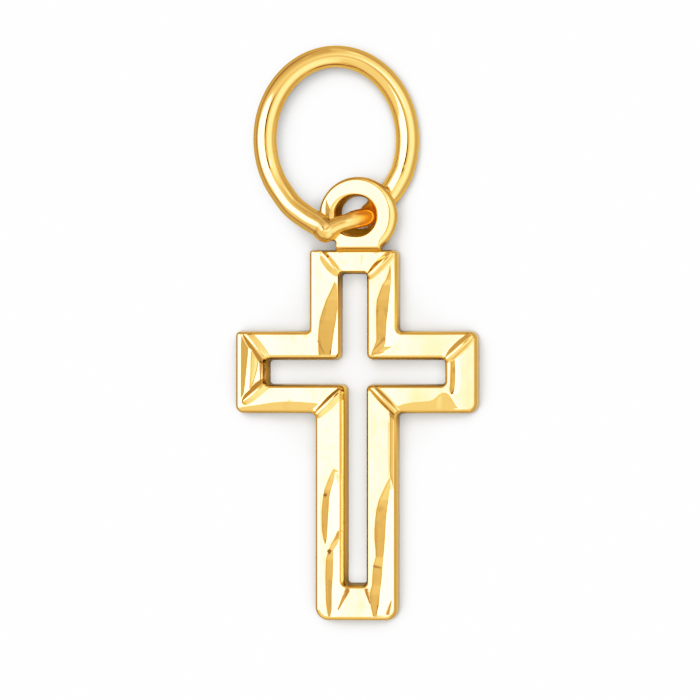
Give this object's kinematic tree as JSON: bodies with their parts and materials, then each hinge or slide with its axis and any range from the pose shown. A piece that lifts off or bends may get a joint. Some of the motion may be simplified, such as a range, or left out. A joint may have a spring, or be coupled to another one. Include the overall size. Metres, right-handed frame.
{
  "type": "cross pendant",
  "caption": "Small gold openwork Latin cross pendant with diamond-cut bars, a flat eyelet on top and a round wire jump ring through it.",
  "frame": {"origin": "on the surface that the pendant lies on, below the middle of its whole length and the middle of its arms", "axes": "+X to the wearer's left as seen from the front, along the arms; +Y up the pendant, from the cross's foot to the jump ring; +Z out of its front face"},
  "size_m": [0.0072, 0.017, 0.0019],
  "materials": {
    "gold": "polished yellow gold, diamond-cut on the front faces"
  },
  "bodies": {
    "root": {"cross": "gold", "jump_ring": "gold"}
  },
  "joints": []
}
